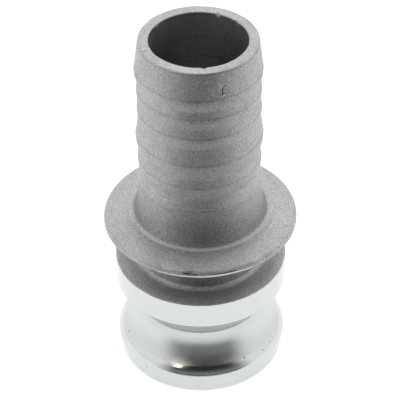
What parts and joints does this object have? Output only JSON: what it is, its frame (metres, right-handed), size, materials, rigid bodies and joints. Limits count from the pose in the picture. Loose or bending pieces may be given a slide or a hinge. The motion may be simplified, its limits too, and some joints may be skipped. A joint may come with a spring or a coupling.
{
  "type": "cam and groove hose adapter",
  "caption": "Male cam-and-groove hose adapter: through-bored cast body with turned sealing nose, cam groove and ring, a thin flange and a barbed hose stem.",
  "frame": {"origin": "centre of the nose face, the flat sealing face that goes into the female coupler", "axes": "+Z along the bore axis, from the nose up to the hose end; the body is turned about Z, so X and Y are any two directions square to it"},
  "size_m": [0.051, 0.051, 0.0988],
  "materials": {
    "aluminium": "grey blasted casting skin, with the ring rim, groove and nose turned bright"
  },
  "bodies": {
    "root": {"adapter_body": "aluminium"}
  },
  "joints": []
}
